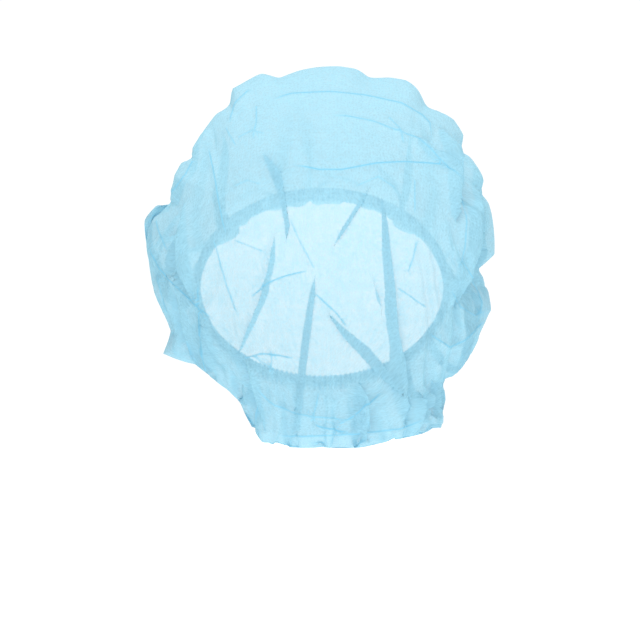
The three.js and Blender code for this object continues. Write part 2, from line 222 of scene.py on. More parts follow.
# The gathers drift together and apart in beats round the hem, and swell and shrink.
CRIMP_BEATS = range(3, 40, 3)
CRIMP_DRIFT = 4.5
SWELL_SHARE = 0.25
SWELL_BEATS = 23
SWELL_DRIFT = 4
SWELL_DRIFT_BEATS = 5
BAG_OFF_HEM = 1.2  # the bag's wall out from the elastic where it meets the hem
CASING_TALL = 9
CASING_TOP = 1.35  # from the elastic's upper edge to the top of the casing

ELASTIC_THICK = 0.7
ELASTIC_TALL = 5
ELASTIC_CORNERS = (0.3, 0.5)  # powers of the section's curve: 1 is an ellipse, less is squarer
ELASTIC_COLUMNS = 720
ELASTIC_ROWS = 16
ELASTIC_WAVES = 60
ELASTIC_RIPPLE = 0.25

TAIL_ROOT = (84, 30, -157)
TAIL_TIP = (98, 30, -161.5)
TAIL_REACH = (26, 30, 12)  # how far round its root the tail draws the cloth, along x, y and z
TAIL_POINT = 1.15  # over 1 draws it to a sharper point

# The spare cloth is eased into folds on coarse sheets first and finer ones after.
# noise: how far the first unevenness stands off the bag. bend: how stiff the cloth is.
Level = namedtuple("Level", "columns rows rounds noise bend")
LEVELS = [
    Level(64, 20, 150, 5.0, 0.05),
    Level(128, 40, 150, 1.0, 0.05),
    Level(256, 80, 100, 0.3, 0.04),
    Level(420, 160, 70, 0.15, 0.03),
]
FINE_COLUMNS = 420  # of the mesh that the folds end up in
FINE_ROWS = 224
SHARP_EDGE = 40  # degrees between faces from which an edge looks sharp
STEEPEST_FACING = 0.5  # the cloth counts as no steeper than this
BACK_CROWDING = 0.42  # columns stand this much closer at the back, and wider at the brow
SPARE_AROUND = 0.5  # cloth to spare round the hem, as a share of the bag's girth
SPARE_EVERYWHERE = 0.05
SPARE_ALONG = 0.06
CALM_SHARE = 0.6  # of the spare cloth that the smooth middle of the back goes without
HOLD = 0.004  # how firmly the bag's form draws the cloth back in each round
CALM_HOLD = 0.03  # and how much more firmly at the smooth middle of the back
FOLD_INWARD = 7  # how deep the folds may stand in from the bag
FOLD_INWARD_LESS = 5  # and how much of that they lose on its underside
FOLD_OUTWARD = 0.8  # how far they may stand out at the sides, top and bottom
FOLD_OUTWARD_MORE = 5.2  # and how much more at the back and the front
CALM_INWARD = 2.0
CALM_OUTWARD = 3.0
UNDERSIDE = (0.3, 0.8)  # how much the cloth faces down

# The smooth place at the middle of the back: half its width, how far back it lies, and its height.
CALM_HALF_WIDTH = 58
CALM_PLACE = (10, 50)
CALM_MIDDLE = -82
CALM_HALF_HEIGHT = 80

# Stretches of the sheet's run, from 0 at its middle to 1 at the hem, where each of these sets in.
MIDDLE_FREE = (0.02, 0.1)  # the cloth's freedom to move, away from the sheet's middle
MIDDLE_FOLDS = (0.015, 0.1)  # the folds that it keeps
SPARE_STARTS = (0.1, 0.3)
SPARE_AROUND_STARTS = (0.2, 0.85)
SPARE_ALONG_STARTS = (0.15, 0.4)
UNEVEN_STARTS = (0.08, 0.4)
RIDGE_STARTS = (0.1, 0.25)
ROUNDNESS_STARTS = (0, 0.2)
HEM_HELD = (0.955, 0.985)  # the hem's hold on the cloth
EVEN_MIDDLE = 0.05  # up to here the sheet counts as lying flat on the bag

# ---- The cloth's web, with pitches in millimetres ----

CLOUD_PITCH = 22  # patches where the web is laid thicker or thinner
FLOCK_PITCH = 3.8  # tufts of fibre
FIBRE_PITCH = 0.9  # bundles of fibre: single ones are 0.02 mm thick and too fine to show
BOND_PITCH = 1.6  # rows of the calender's bond points, about twice as coarse as real ones
BOND_EDGE = (0.18, 0.34)  # a bond point's edge, as a share of the pitch
BOND_STRAY = 0.25  # how far the points stray from their rows
FIBRE_STRETCH = (0.6, 1, 1)  # fibres lie mostly along x, the way that the web was spun
CLOUD_SWING = 0.04  # how much each pattern adds to the fibre's cover or takes off
FLOCK_SWING = 0.08
FIBRE_SWING = 0.08
BOND_THINNING = 0.06  # melted bond points are clearer
BOND_DENT = 0.15
NOISE_MIDDLE = (0.3, 0.7)  # nearly all of a noise lies in this stretch
RELIEF_SHARE = 0.25  # how much of the relief the light sees
RELIEF_DEPTH = 0.6  # deeper than the cloth is thick, because its fibres are drawn coarser
THROUGH_SHARE = 0.45  # of the light that the fibres meet, the share that goes through them

PINCH_COVER = 0.35  # what pinched fibres add to the cover
PINCH_LAYERS_AND_SHADE = (0.58, 0.82, 0.92, 1)  # and what the thicker cloth leaves of red, green and blue; this darkening is partly painted shade in the creases and ridges
GATHER_DEPTH = (0.42, 0.68, 0.8, 1)  # the same for the hem's tight gathers: partly the gathered cloth and partly painted shadow in the gathers' bottoms
RIDGE_SHARE = 0.6  # a buckled ridge's strength against a pressed crease

# ---- The stage, in metres ----

AIM = (0, 0, -0.11)  # the cap's middle
FLOOR_HALF_SIDE = 12
FLOOR_HEIGHT = -0.42
FLOOR_GLOW = 0.85
WALL_LIGHT = 0.48  # the light that the walls give
WALL_SEEN = 1.05  # and how bright they look
Softbox = namedtuple("Softbox", "name place width watts")
SOFTBOXES = [
    Softbox("top_softbox", (0.05, 0.3, 1.0), 0.7, 12),
    Softbox("back_softbox", (0.25, 1.3, 0.0), 0.7, 6),
    Softbox("side_softbox", (-1.1, 0.7, -0.15), 0.6, 4),
]
CAMERA_PLACE = (0.0012, 4.0, -0.1407)
CAMERA_TURN = (90, 0, 180)  # degrees: level, and looking at the back of the cap
CAMERA_LENS = 362  # millimetres, on a sensor of this width
CAMERA_SENSOR = 36

# ---- Small helpers ----

def eased(share):
    """A share from 0 to 1 that starts and stops gently."""
    return share * share * (3 - 2 * share)


def smooth(value, low, high):
    """0 up to low, 1 from high, and eased between them."""
    return eased(np.clip((value - low) / (high - low), 0, 1))


def bell(value):
    return np.exp(-value * value)


def read_round(rows, turn, column, shape=lambda share: share):
    """A column of a table at turns in degrees, for rows sorted by turn and joined end to start."""
    turns = np.array([row.turn for row in rows], float)
    values = np.array([getattr(row, column) for row in rows], float)
    high = np.searchsorted(turns, turn % 360, side="right") % len(rows)
    low = (high - 1) % len(rows)
    share = ((turn - turns[low]) % 360) / ((turns[high] - turns[low]) % 360)
    return values[low] + (values[high] - values[low]) * shape(share)


def hex_linear(text):
    """An sRGB colour such as "A3CFDD" as linear red, green and blue, and an alpha of 1."""
    parts = [int(text[i:i + 2], 16) / 255 for i in (0, 2, 4)]
    linear = [c / 12.92 if c <= 0.04045 else ((c + 0.055) / 1.055) ** 2.4 for c in parts]
    return (*linear, 1.0)


# ---- The hem's plane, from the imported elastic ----

def node_points(name):
    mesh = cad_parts[name].data
    points = np.empty(len(mesh.vertices) * 3)
    mesh.vertices.foreach_get("co", points)
    return points.reshape(-1, 3) / MM


class HemPlane:
    """The tilted plane that the elastic lies in. Lengths are in millimetres."""

    def __init__(self):
        points = node_points("elastic_band")
        self.middle = points.mean(axis=0)
        axes = np.linalg.svd(points - self.middle, full_matrices=False)[2]
        self.nape, self.left, self.crown = axes
        self.nape = self.nape * np.sign(self.nape[1])
        self.left = self.left * np.sign(self.left[0])
        self.crown = self.crown * np.sign(self.crown[2])
        offsets = points - self.middle
        self.half_length = np.abs(offsets @ self.nape).max()
        self.half_width = np.abs(offsets @ self.left).max()
        self.band_tall = np.ptp(offsets @ self.crown)

    def place(self, turn, out, up):
        """Points by their turn round the middle, distance from it and height over the plane."""
        along = out * np.cos(turn)
        across = out * np.sin(turn)
        return (self.middle + along[..., None] * self.nape + across[..., None] * self.left
                + (up + np.zeros_like(out))[..., None] * self.crown)

    def radius(self, turn):
        return 1 / np.hypot(np.cos(turn) / self.half_length, np.sin(turn) / self.half_width)


HEM = HemPlane()
CASING_BELOW = CASING_TALL - CASING_TOP - HEM.band_tall / 2  # from the elastic's middle down


# ---- The bag's form ----

def plain_bag(turn, run):
    """The bag before its outline is drawn out."""
    degrees = np.degrees(turn)
    reach, waist, sag, pouch, roundness = (
        read_round(BAG, degrees, column, eased)
        for column in ("reach", "waist", "sag", "pouch", "round"))
    hem_out = HEM.radius(turn) + BAG_OFF_HEM
    hem_up = -CASING_BELOW
    lowest = hem_out + (reach - hem_out) * pouch
    roundness = 1 + (roundness - 1) * smooth(run, *ROUNDNESS_STARTS)
    lift = (1 - np.clip(run / DOME_END, 0, 1)) * math.pi / 2
    drop = np.clip((run - DOME_END) / (UNDER_START - DOME_END), 0, 1) * math.pi / 2
    turn_up = np.clip((run - UNDER_START) / (1 - UNDER_START), 0, 1) * math.pi / 2
    dome_out = reach * np.clip(np.cos(lift), 0, 1) ** roundness
    dome_up = waist + (CROWN_RISE - waist) * np.clip(np.sin(lift), 0, 1) ** roundness
    side_out = lowest + (reach - lowest) * np.cos(drop)
    side_up = waist + (sag - waist) * np.sin(drop)
    under_out = lowest + (hem_out - lowest) * np.sin(turn_up)
    under_up = sag + (hem_up - sag) * (1 - np.cos(turn_up))
    stretches = [run <= DOME_END, run <= UNDER_START]
    out = np.select(stretches, [dome_out, side_out], under_out)
    up = np.select(stretches, [dome_up, side_up], under_up)
    return HEM.place(turn, out, up)


def polar(points):
    """Turn in degrees and distance round the outline's middle, as seen from behind."""
    x = points[..., 0]
    z = points[..., 2] - OUTLINE_MIDDLE
    return np.degrees(np.arctan2(z, x)) % 360, np.hypot(x, z)


OutlineRow = namedtuple("OutlineRow", "turn radius depth")


def sorted_outline():
    rows = []
    for corner in OUTLINE:
        turn, radius = polar(np.array([corner.x, 0.0, corner.z]))
        rows.append(OutlineRow(float(turn), float(radius), corner.depth))
    return sorted(rows)


def plain_outline():
    """The plain bag's own outline from behind, from points every 2 degrees and 2% of its run."""
    turn, run = np.meshgrid(np.radians(np.arange(0, 360, 2)), np.arange(0, 1, 0.02))
    seen_turn, seen_radius = polar(plain_bag(turn, run))
    radii = np.zeros(360 // OUTLINE_STEP)
    np.maximum.at(radii, np.round(seen_turn / OUTLINE_STEP).astype(int) % len(radii), seen_radius)
    return [OutlineRow(i * OUTLINE_STEP, radius, 0) for i, radius in enumerate(radii)]


def soft_outline(outline):
    """The outline with its narrow notches and corners left out."""
    rows = []
    off = np.arange(-BRIDGE_DEGREES, BRIDGE_DEGREES + 1, 2)
    for turn in range(0, 360, OUTLINE_STEP):
        radii = read_round(outline, turn + off, "radius") + BRIDGE_SLACK * (off / BRIDGE_DEGREES) ** 2
        rows.append(OutlineRow(turn, radii.min(), 0))
    return rows


def drawn_out(points, run):
    """Draws the bag out to its outline, with a fold that runs to each corner."""
    outline = sorted_outline()
    turn, radius = polar(points)
    plain = read_round(plain_outline(), turn, "radius")
    soft = read_round(soft_outline(outline), turn, "radius")
    corner = read_round(outline, turn, "radius")
    depth = read_round(outline, turn, "depth")
    share = np.clip(radius / plain, 0, 1)
    free = 1 - smooth(run, *HEM_STAYS)
    whole = 1 + (soft / plain - 1) * smooth(share, *SKIRT_SHARE) * free
    fold = bell((points[..., 1] - depth) / CORNER_RUN) * share ** CORNER_SHARPNESS * free
    scale = whole + (corner - soft) / np.maximum(radius, 1) * fold
    middle = np.array([0, 0, OUTLINE_MIDDLE])
    drawn = (points - middle) * scale[..., None] + middle
    drawn[..., 1] = points[..., 1]
    return drawn


def bag_grid(columns, rows):
    """The bag's points, rows from the sheet's middle to the hem, with each point's turn and run."""
    even = np.arange(columns) / columns * 2 * math.pi
    turn, run = np.meshgrid(even - BACK_CROWDING * np.sin(even), (np.arange(rows) + 1) / rows)
    return drawn_out(plain_bag(turn, run), run), turn, run


def resampled(grid, columns, rows):
    """The same sheet on a finer grid, through its points by cubic curves."""
    def through(before, start, end, after, share):
        return 0.5 * (2 * start + (end - before) * share
                      + (2 * before - 5 * start + 4 * end - after) * share ** 2
                      + (3 * start - before - 3 * end + after) * share ** 3)

    old_rows, old_columns = grid.shape[:2]
    place = np.arange(columns) * old_columns / columns
    low = np.floor(place).astype(int)
    around = [grid[:, (low + step) % old_columns] for step in (-1, 0, 1, 2)]
    wide = through(*around, (place - low)[None, :, None])
    place = np.clip((np.arange(rows) + 1) / rows * old_rows - 1, 0, old_rows - 1)
    low = np.minimum(np.floor(place).astype(int), old_rows - 2)
    along = [wide[np.clip(low + step, 0, old_rows - 1)] for step in (-1, 0, 1, 2)]
    return through(*along, (place - low)[:, None, None])


def grid_normals(grid):
    """Directions straight out of the sheet, of length 1."""
    ahead = np.gradient(grid, axis=0)
    aside = np.roll(grid, -1, axis=1) - np.roll(grid, 1, axis=1)
    normals = np.cross(aside, ahead)
    return normals / np.maximum(np.linalg.norm(normals, axis=-1, keepdims=True), 1e-9)


# ---- The spare cloth ----

def calm_places(points):
    """1 where the head holds the cloth smooth, at the middle of the back, and 0 away from it."""
    x, y, z = np.moveaxis(points, -1, 0)
    up = (z - CALM_MIDDLE) / CALM_HALF_HEIGHT
    return bell(x / CALM_HALF_WIDTH) * smooth(y, *CALM_PLACE) * bell(up)


def softened(grid):
    """Each point drawn half way to the middle of its neighbours, which takes out ripples one wide."""
    grid = (np.roll(grid, 1, axis=1) + 2 * grid + np.roll(grid, -1, axis=1)) / 4
    grid[1:-1] = (grid[:-2] + 2 * grid[1:-1] + grid[2:]) / 4
    return grid


def soft_noise(random, shape):
    """Soft random unevenness of spread 1."""
    noise = softened(softened(random.normal(size=shape)))
    return noise / noise.std()


def mended(start, end, length):
    """How far the start of each thread moves to bring the thread to its length."""
    gap = end - start
    now = np.linalg.norm(gap, axis=-1)
    return gap * (0.5 * (now - length) / np.maximum(now, 1e-6))[..., None]


def bent(grid):
    """How far each point stands from the middle of its neighbours."""
    off = (np.roll(grid, 1, axis=1) + np.roll(grid, -1, axis=1)) / 2 - grid
    off[1:-1] += (grid[:-2] + grid[2:]) / 2 - grid[1:-1]
    return off


def faded(folds, run):
    """The folds with none at the sheet's very middle."""
    return folds * smooth(run, *MIDDLE_FOLDS)[..., None]


def thread_lengths(bag, run, loose):
    """The true lengths of the threads round the sheet, along its run and slantwise."""
    spare = SPARE_EVERYWHERE * smooth(run, *SPARE_STARTS) + SPARE_AROUND * smooth(run, *SPARE_AROUND_STARTS)
    around = np.linalg.norm(np.roll(bag, -1, axis=1) - bag, axis=-1)
    around = around * (1 + loose * spare)
    along = np.linalg.norm(np.diff(bag, axis=0), axis=-1)
    along = along * (1 + loose[1:] * SPARE_ALONG * smooth(run[1:], *SPARE_ALONG_STARTS))
    return around, along, np.hypot((around[:-1] + around[1:]) / 2, along)


def fold_limits(out, calm):
    """How far in and how far out of the bag the folds may stand."""
    below = smooth(-out[..., 2], *UNDERSIDE)
    inmost = -(FOLD_INWARD - FOLD_INWARD_LESS * below) * (1 - calm) - CALM_INWARD * calm
    outmost = (FOLD_OUTWARD + FOLD_OUTWARD_MORE * out[..., 1] ** 2) * (1 - calm) + CALM_OUTWARD * calm
    return inmost, outmost


def eased_folds(folds, level, random):
    """Eases the sheet's threads to their true lengths, so that spare cloth buckles into folds.
    Takes and gives how far each point has moved off the bag."""
    bag, _, run = bag_grid(level.columns, level.rows)
    out = grid_normals(bag)
    calm = calm_places(bag)
    loose = 1 - CALM_SHARE * calm
    around, along, bias = thread_lengths(bag, run, loose)
    inmost, outmost = fold_limits(out, calm)
    free = (1 - smooth(run, *HEM_HELD)) * smooth(run, *MIDDLE_FREE)
    hold = HOLD + CALM_HOLD * calm
    sheet = bag if folds is None else bag + faded(resampled(folds, level.columns, level.rows), run)
    noise = soft_noise(random, run.shape) * level.noise * loose * free
    sheet = sheet + out * (noise * smooth(run, *UNEVEN_STARTS))[..., None]
    for _ in range(level.rounds):
        move = np.zeros_like(sheet)
        ring = mended(sheet, np.roll(sheet, -1, axis=1), around)
        move += ring - np.roll(ring, 1, axis=1)
        line = mended(sheet[:-1], sheet[1:], along)
        move[:-1] += line
        move[1:] -= line
        for way in (1, -1):
            # The slanting threads give way twice as easily, as they do in a web without a weave.
            cross = 0.5 * mended(sheet[:-1], np.roll(sheet, -way, axis=1)[1:], bias)
            move[:-1] += cross
            move[1:] -= np.roll(cross, way, axis=1)
        # Up to three threads pull at a point each way, so it goes a third of the way.
        step = move / 3 - level.bend * bent(bent(sheet)) + hold[..., None] * (bag - sheet)
        sheet = sheet + step * free[..., None]
        height = ((sheet - bag) * out).sum(axis=-1)
        sheet = sheet + out * (np.clip(height, inmost, outmost) - height)[..., None]
    return sheet - bag


def gathered_sheet(seed):
    """The bag, the same sheet in its folds, and each point's turn and run."""
    random = np.random.default_rng(seed)
    folds = None
    for level in LEVELS:
        folds = eased_folds(folds, level, random)
    bag, turn, run = bag_grid(FINE_COLUMNS, FINE_ROWS)
    folds = resampled(softened(folds), FINE_COLUMNS, FINE_ROWS)
    return bag, bag + faded(folds, run), turn, run


def ridges(sheet, run):
    """Where the spare cloth has buckled sharply, from 0 to 1. Such ridges stay as fine creases, which the
    material darkens, partly with painted shade.
    """
    before = np.roll(sheet, 1, axis=1)
    after = np.roll(sheet, -1, axis=1)
    aside = np.linalg.norm(after - before, axis=-1) / 2
    around = np.linalg.norm(before + after - 2 * sheet, axis=-1) / aside ** 2
    ahead = np.linalg.norm(np.gradient(sheet, axis=0), axis=-1)
    along = np.zeros_like(around)
    along[1:-1] = np.linalg.norm(sheet[:-2] + sheet[2:] - 2 * sheet[1:-1], axis=-1) / ahead[1:-1] ** 2
    curl = np.maximum(around, RIDGE_ALONG * along)
    return smooth(curl, *RIDGE_CURL) * smooth(run, *RIDGE_STARTS)


# ---- Meshes ----

def grid_faces(rows, columns, closed_pole=False):
    """Quads between rows of points that close on themselves, and triangles to a pole put last."""
    index = np.arange(rows * columns).reshape(rows, columns)
    right = np.roll(index, -1, axis=1)
    quads = np.stack([index[:-1], right[:-1], right[1:], index[1:]], axis=-1).reshape(-1, 4)
    faces = quads.tolist()
    if closed_pole:
        faces += [[rows * columns, int(b), int(a)] for a, b in zip(index[0], right[0])]
    return faces


def mesh_object(name, points_mm, faces):
    mesh = bpy.data.meshes.new(name)
    mesh.from_pydata((np.asarray(points_mm) * MM).tolist(), [], faces)
    mesh.validate()
    mesh.update()
    piece = bpy.data.objects.new(name, mesh)
    bpy.context.scene.collection.objects.link(piece)
    return piece


def get_points(piece):
    points = np.empty(len(piece.data.vertices) * 3)
    piece.data.vertices.foreach_get("co", points)
    return points.reshape(-1, 3) / MM


def set_points(piece, points_mm):
    piece.data.vertices.foreach_set("co", (points_mm * MM).ravel())
    piece.data.update()


def get_normals(piece):
    normals = np.empty(len(piece.data.vertices) * 3)
    piece.data.vertices.foreach_get("normal", normals)
    return normals.reshape(-1, 3)


def shade_smooth(piece):
    """Smooth shading that stops at the edges of sharp folds."""
    piece.data.polygons.foreach_set("use_smooth", [True] * len(piece.data.polygons))
    piece.data.set_sharp_from_angle(angle=math.radians(SHARP_EDGE))


def store_steepness(piece, out, even=0):
    """Stores how much more cloth a straight look through it meets where it stands on edge.
    even: 1 where the cloth counts as lying flat."""
    facing = np.abs((get_normals(piece) * out).sum(axis=1))
    store(piece, "steep", 1 / np.clip(np.maximum(facing, even), STEEPEST_FACING, 1))


def store(piece, name, values):
    attribute = piece.data.attributes.new(name, "FLOAT", "POINT")
    attribute.data.foreach_set("value", np.asarray(values, float).ravel())


def read(piece, name):
    values = np.empty(len(piece.data.vertices))
    piece.data.attributes[name].data.foreach_get("value", values)
    return values


# ---- Folds, pleats and creases ----

def along_line(points, line):
    """For points seen from behind: signed distance to a polyline, the share of its length at the
    nearest place, the direction across it there, and how far past its ends the point lies."""
    line = np.asarray(line, float)
    lengths = np.hypot(*np.diff(line, axis=0).T)
    total = lengths.sum()
    best = np.full(len(points), np.inf)
    signed = np.zeros(len(points))
    share = np.zeros(len(points))
    across = np.zeros((len(points), 2))
    start = 0.0
    for a, b, length in zip(line[:-1], line[1:], lengths):
        ahead = (b - a) / length
        aside = np.array([-ahead[1], ahead[0]])
        offset = points - a
        reached = np.clip(offset @ ahead, 0, length)
        gap = offset - reached[:, None] * ahead
        distance = np.hypot(gap[:, 0], gap[:, 1])
        nearer = distance < best
        best[nearer] = distance[nearer]
        signed[nearer] = (offset @ aside)[nearer]
        share[nearer] = (start + reached[nearer]) / total
        across[nearer] = aside
        start += length
    beyond = np.sqrt(np.maximum(best ** 2 - signed ** 2, 0))
    return signed, share, across, beyond


def at_back(points, normals, place, facing):
    """From 0 to 1, by how far back the points lie and how much the cloth faces back there."""
    return smooth(points[:, 1], *place) * smooth(normals[:, 1], *facing)


def lay_pleats(piece):
    """Lays the back's cloth over itself along each pleat, three layers thick."""
    for pleat in PLEATS:
        points = get_points(piece)
        normals = get_normals(piece)
        line = np.array([(p.x, p.z) for p in pleat.points], float)
        signed, share, across, beyond = along_line(points[:, [0, 2]], line)
        spans = np.hypot(*np.diff(line, axis=0).T)
        stations = np.concatenate([[0], np.cumsum(spans)]) / spans.sum()
        width = np.interp(share, stations, [p.width for p in pleat.points])
        spread = np.maximum(PLEAT_SPREAD * width, PLEAT_NARROWEST)
        on = at_back(points, normals, PLEAT_PLACE, PLEAT_FACING)
        on = on * bell(beyond / PLEAT_END) * smooth(width, *PLEAT_WIDTHS)
        shift = -signed * (PLEAT_FLIP * bell(signed / spread) * on)
        move = np.zeros_like(points)
        move[:, 0] = across[:, 0] * shift
        move[:, 2] = across[:, 1] * shift
        wave = WAVE_TO_ONE * (signed / spread) * bell(signed / spread)
        rise = pleat.lean * PLEAT_RISE * wave * on
        set_points(piece, points + move + normals * rise[:, None])


def press_creases(piece):
    """Presses the sharp lines in. Stores the distance to the nearest and how firmly it is pressed, by which
    the material darkens the line, partly as painted shade.
    """
    points = get_points(piece)
    normals = get_normals(piece)
    height = np.zeros(len(points))
    nearest = np.full(len(points), CREASE_FAR)
    pressed = np.zeros(len(points))
    for crease in CREASES:
        signed, share, _, beyond = along_line(points[:, [0, 2]], crease.points)
        fade = smooth(share, *CREASE_STARTS) * (1 - smooth(share, *CREASE_STOPS))
        on = at_back(points, normals, CREASE_PLACE, CREASE_FACING)
        on = on * bell(beyond / CREASE_END) * crease.strength * fade
        height += CREASE_RISE * bell(signed / CREASE_SPREAD) * on
        nearer = (np.abs(signed) < np.abs(nearest)) & (on > CREASE_FAINTEST)
        nearest[nearer] = signed[nearer]
        pressed[nearer] = (on * (1 - smooth(np.abs(signed), *CREASE_REACH)))[nearer]
    set_points(piece, points + normals * height[:, None])
    store(piece, "crease_gap", nearest)
    store(piece, "pressed", pressed)


def trim_outline(points):
    """Keeps the folds from standing out past the outline."""
    turn, radius = polar(points)
    limit = read_round(sorted_outline(), turn, "radius")
    scale = np.minimum(1, limit / np.maximum(radius, 1))
    middle = np.array([0, 0, OUTLINE_MIDDLE])
    trimmed = (points - middle) * scale[:, None] + middle
    trimmed[:, 1] = points[:, 1]
    return trimmed


def pull_tail(piece):
    """Draws a pinch of the cloth out to the tail's tip, flat and pointed."""
    points = get_points(piece)
    tip = np.array(TAIL_TIP, float)
    root = points[np.linalg.norm(points - np.array(TAIL_ROOT, float), axis=1).argmin()]
    away = (points - root) / np.array(TAIL_REACH, float)
    weight = np.clip(1 - np.linalg.norm(away, axis=1), 0, 1)
    set_points(piece, points + (tip - root) * weight[:, None] ** TAIL_POINT)


# ---- Materials ----

def add_node(tree, kind, inputs=(), **settings):
    """Adds a node with its own settings. inputs are pairs of an input, by name or number, and what
    goes in: a socket, a node, which gives its first output, or a plain value."""
    node = tree.nodes.new(kind)
    for name, value in settings.items():
        setattr(node, name, value)
    for place, source in inputs:
        if isinstance(source, bpy.types.Node):
            source = source.outputs[0]
        if isinstance(source, bpy.types.NodeSocket):
            tree.links.new(source, node.inputs[place])
        else:
            node.inputs[place].default_value = source
    return node


def new_material(name):
    material = bpy.data.materials.new(name)
    material.use_nodes = True
    material.node_tree.nodes.clear()
    return material, material.node_tree


def unevenness(tree, place, pitch, low, high, detail, rough=0.5):
    """A pattern without order, of the given pitch, that swings from low to high."""
    noise = add_node(tree, "ShaderNodeTexNoise", [
        ("Vector", place), ("Scale", 1 / (pitch * MM)), ("Detail", detail), ("Roughness", rough)])
    return add_node(tree, "ShaderNodeMapRange", [
        ("Value", noise), ("From Min", NOISE_MIDDLE[0]), ("From Max", NOISE_MIDDLE[1]),
        ("To Min", low), ("To Max", high)])


def web_patterns(tree, cover):
    """The web's fibre cover, and its relief of fibres and dented bond points."""
    sheet = add_node(tree, "ShaderNodeUVMap", uv_map="Sheet")
    spun = add_node(tree, "ShaderNodeMapping", [("Vector", sheet), ("Scale", FIBRE_STRETCH)])
    cloud = unevenness(tree, sheet, CLOUD_PITCH, cover - CLOUD_SWING, cover + CLOUD_SWING, detail=2)
    flock = unevenness(tree, sheet, FLOCK_PITCH, -FLOCK_SWING, FLOCK_SWING, detail=3, rough=0.62)
    fibres = unevenness(tree, spun, FIBRE_PITCH, -FIBRE_SWING, FIBRE_SWING, detail=2, rough=0.6)
    rows = add_node(tree, "ShaderNodeTexVoronoi", [
        ("Vector", sheet), ("Scale", 1 / (BOND_PITCH * MM)), ("Randomness", BOND_STRAY)])
    bond = add_node(tree, "ShaderNodeMapRange", [
        ("Value", rows), ("From Min", BOND_EDGE[0]), ("From Max", BOND_EDGE[1]), ("To Min", 1),
        ("To Max", 0)])
    laid = add_node(tree, "ShaderNodeMath", [(0, cloud), (1, flock)], operation="ADD")
    spread = add_node(tree, "ShaderNodeMath", [(0, laid), (1, fibres)], operation="ADD")
    bonded = add_node(tree, "ShaderNodeMath", [(0, bond), (1, -BOND_THINNING), (2, spread)],
                      operation="MULTIPLY_ADD")
    relief = add_node(tree, "ShaderNodeMath", [(0, bond), (1, -BOND_DENT), (2, fibres)],
                      operation="MULTIPLY_ADD")
    return bonded, relief


def pinch_and_shade_share(tree):
    """From 0 to 1, where the cloth is pinched together in a pressed crease or a buckled ridge. There it
    gets more cover and a darker colour that is partly painted shade.
    """
    away = add_node(tree, "ShaderNodeAttribute", attribute_name="crease_gap").outputs["Fac"]
    pressed = add_node(tree, "ShaderNodeAttribute", attribute_name="pressed").outputs["Fac"]
    ridge = add_node(tree, "ShaderNodeAttribute", attribute_name="ridge").outputs["Fac"]
    squared = add_node(tree, "ShaderNodeMath", [(0, away), (1, away)], operation="MULTIPLY")
    power = add_node(tree, "ShaderNodeMath", [(0, squared), (1, -1 / CREASE_HALF ** 2)],
                     operation="MULTIPLY")
    line = add_node(tree, "ShaderNodeMath", [(0, power)], operation="EXPONENT")
    crease = add_node(tree, "ShaderNodeMath", [(0, line), (1, pressed)], operation="MULTIPLY")
    buckled = add_node(tree, "ShaderNodeMath", [(0, ridge), (1, RIDGE_SHARE)], operation="MULTIPLY")
    return add_node(tree, "ShaderNodeMath", [(0, crease), (1, buckled)], operation="MAXIMUM")


def nonwoven_material(colour, cover, depth=PINCH_LAYERS_AND_SHADE):
    """Polypropylene fibres, spunbonded and calendered with small bond points. The eye sees a matt
    cloudy veil: what lies behind shows through its gaps, light glows through its fibres, and each
    layer, pinch and steep place adds blue. The darker colour at pinches is partly painted shade in
    creases, ridges and the hem's gathers."""
    material, tree = new_material("Spunbonded polypropylene, bonded web")
    bonded, relief = web_patterns(tree, cover)
    pinch = pinch_and_shade_share(tree)
    # A Mix node's colours are its inputs 6 and 7, and its output 2.
    deep = tuple(part * left for part, left in zip(colour, depth))
    # Pinched places take the deeper colour: partly the extra cloth, partly painted shade.
    dyed_and_shaded = add_node(tree, "ShaderNodeMix", [("Factor", pinch), (6, colour), (7, deep)],
                    data_type="RGBA").outputs[2]
    bump = add_node(tree, "ShaderNodeBump", [
        ("Height", relief), ("Strength", RELIEF_SHARE), ("Distance", RELIEF_DEPTH * MM)])
    front = add_node(tree, "ShaderNodeBsdfDiffuse", [("Color", dyed_and_shaded), ("Normal", bump)])
    glow = add_node(tree, "ShaderNodeBsdfTranslucent", [("Color", dyed_and_shaded), ("Normal", bump)])
    web = add_node(tree, "ShaderNodeMixShader", [("Fac", THROUGH_SHARE), (1, front), (2, glow)])
    gaps = add_node(tree, "ShaderNodeBsdfTransparent")
    # Cloth that stands on edge is looked through aslant, so less of it is seen as gap.
    steep = add_node(tree, "ShaderNodeAttribute", attribute_name="steep").outputs["Fac"]
    total = add_node(tree, "ShaderNodeMath", [(0, pinch), (1, PINCH_COVER), (2, bonded)],
                     operation="MULTIPLY_ADD", use_clamp=True)
    gap = add_node(tree, "ShaderNodeMath", [(0, 1), (1, total)], operation="SUBTRACT")
    seen_gap = add_node(tree, "ShaderNodeMath", [(0, gap), (1, steep)], operation="POWER")
    seen_cover = add_node(tree, "ShaderNodeMath", [(0, 1), (1, seen_gap)], operation="SUBTRACT",
                          use_clamp=True)
    cloth = add_node(tree, "ShaderNodeMixShader", [("Fac", seen_cover), (1, gaps), (2, web)])
    add_node(tree, "ShaderNodeOutputMaterial", [("Surface", cloth)])
    return material


def elastic_material():
    """Polyester yarn braided over rubber, left white. The eye sees a soft white cord without gloss."""
    material, tree = new_material("Braided elastic, polyester over rubber")
    yarn = add_node(tree, "ShaderNodeBsdfPrincipled", [
        ("Base Color", hex_linear("EDF3F4")), ("Roughness", 0.6)])
    add_node(tree, "ShaderNodeOutputMaterial", [("Surface", yarn)])
    return material


